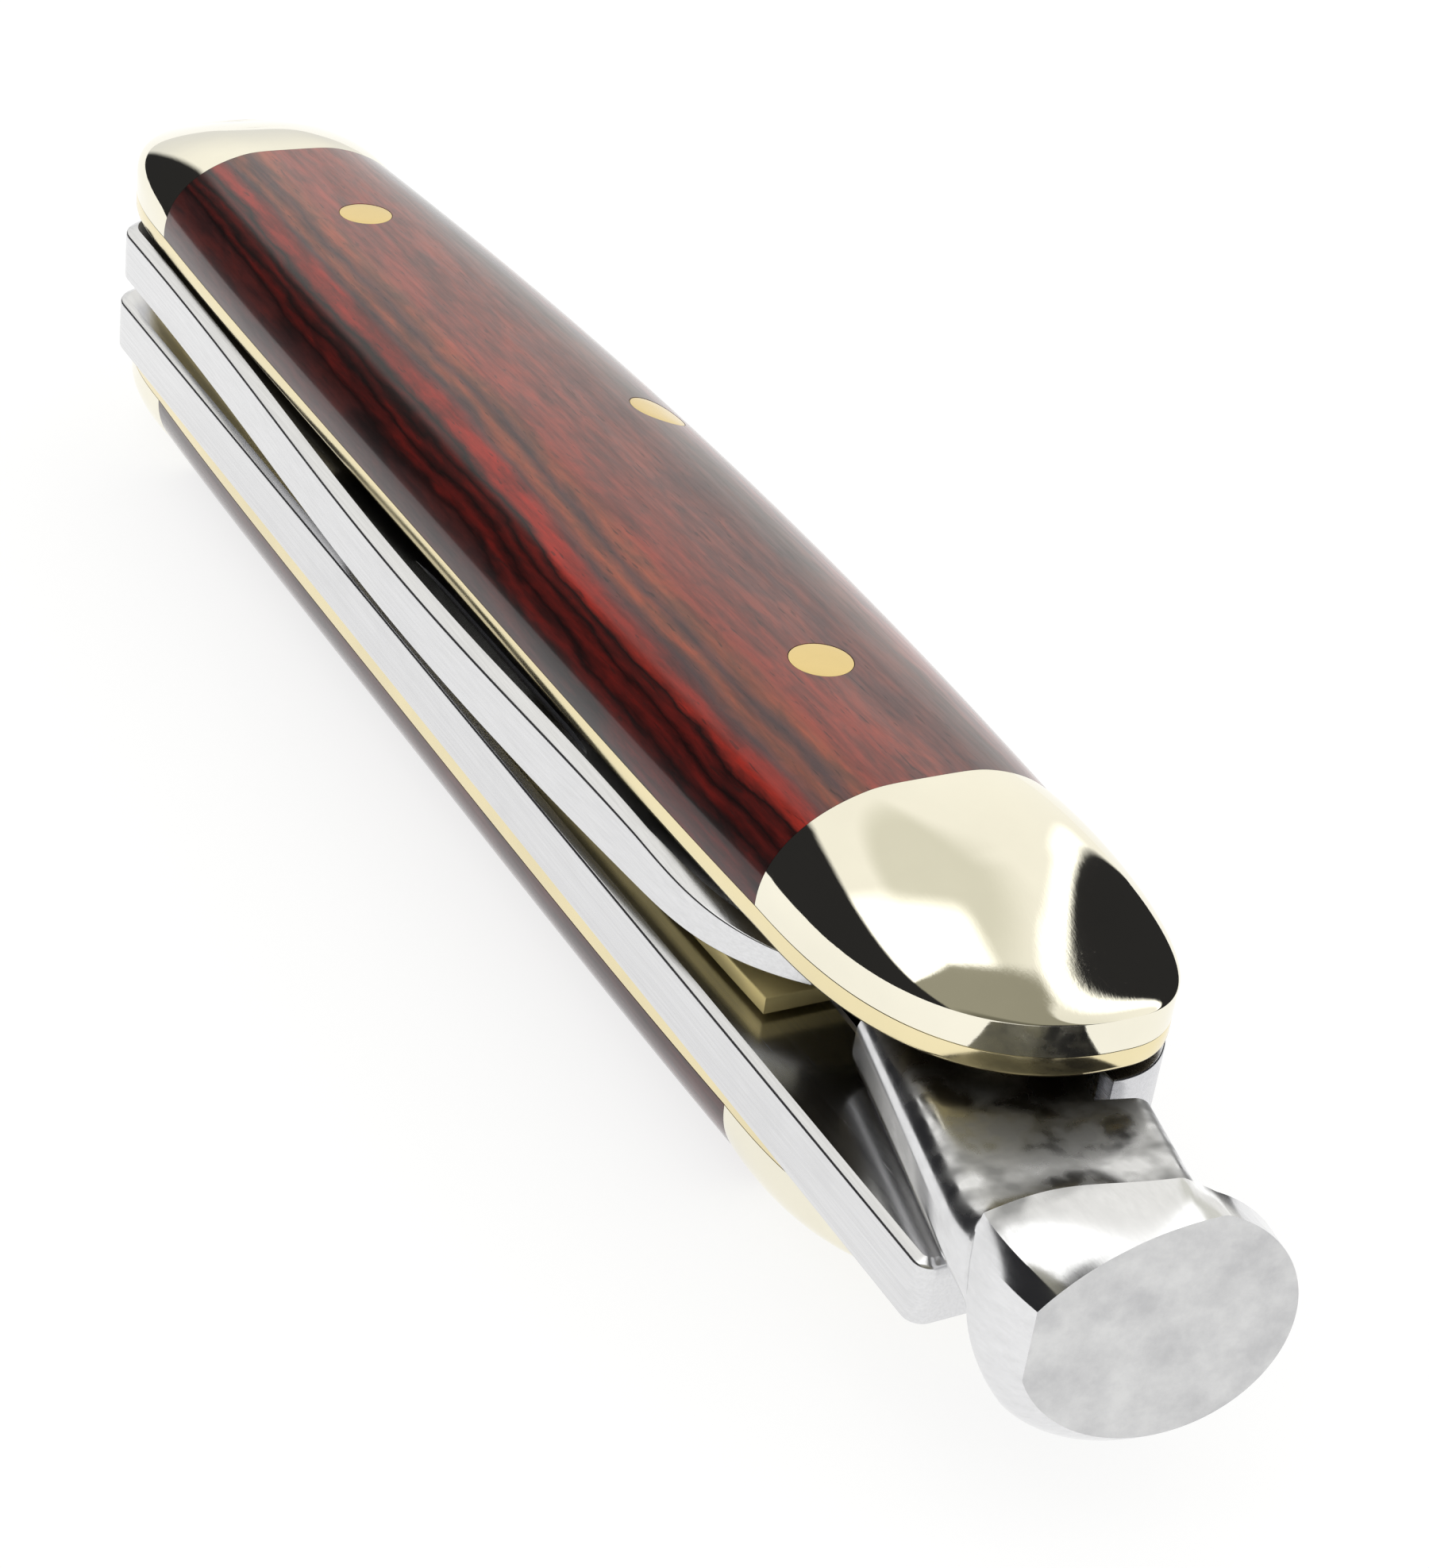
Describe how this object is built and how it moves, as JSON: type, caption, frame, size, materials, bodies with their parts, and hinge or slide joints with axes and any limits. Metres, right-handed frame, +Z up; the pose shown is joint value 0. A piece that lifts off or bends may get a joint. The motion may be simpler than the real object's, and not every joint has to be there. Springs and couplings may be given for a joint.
{
  "type": "folding pipe knife",
  "caption": "Folding pocket knife with a pen blade, a long spoon tool and a swivelling pipe tamper in a domed wood handle with metal bolsters.",
  "frame": {"origin": "centre of the flat on the crest of the bottom scale, which the closed knife lies on", "axes": "+X along the handle towards the tamper, +Y from the belly, where the tools show, to the back, +Z up through the top scale"},
  "size_m": [0.0917, 0.0153, 0.0165],
  "materials": {
    "rosewood": "gloss lacquered red-brown wood with dark lengthwise grain",
    "nickel_silver": "mirror polished warm white metal",
    "brass": "polished pale brass",
    "tool_steel": "satin ground and buffed steel",
    "spring_steel": "satin steel"
  },
  "bodies": {
    "handle": {"top_scale": "rosewood", "bottom_scale": "rosewood", "near_top_bolster": "nickel_silver", "near_bottom_bolster": "nickel_silver", "far_top_bolster": "nickel_silver", "far_bottom_bolster": "nickel_silver", "top_liner": "brass", "centre_liner": "brass", "bottom_liner": "brass", "upper_backspring": "spring_steel", "lower_backspring": "spring_steel", "far_pivot_pin": "nickel_silver", "near_pivot_pin": "nickel_silver", "spring_pin": "brass", "spring_end_pin": "brass", "near_top_scale_pin": "brass", "near_bottom_scale_pin": "brass", "far_top_scale_pin": "brass", "far_bottom_scale_pin": "brass"},
    "blade": {"knife_blade": "tool_steel"},
    "spoon": {"spoon_tool": "tool_steel"},
    "tamper_arm": {"tamper": "tool_steel"}
  },
  "joints": [
    {"name": "blade_fold", "type": "hinge", "parent": "handle", "child": "blade", "pos_m": [-0.0376, -0.00155, 0.00999], "axis": [0, 0, -1], "range_deg": [0, 180]},
    {"name": "spoon_fold", "type": "hinge", "parent": "handle", "child": "spoon", "pos_m": [-0.0376, -0.00155, 0.00639], "axis": [0, 0, -1], "range_deg": [0, 180]},
    {"name": "tamper_swing", "type": "hinge", "parent": "handle", "child": "tamper_arm", "pos_m": [0.0376, -0.00155, 0.00936], "axis": [0, 0, -1], "range_deg": [0, 75]}
  ]
}
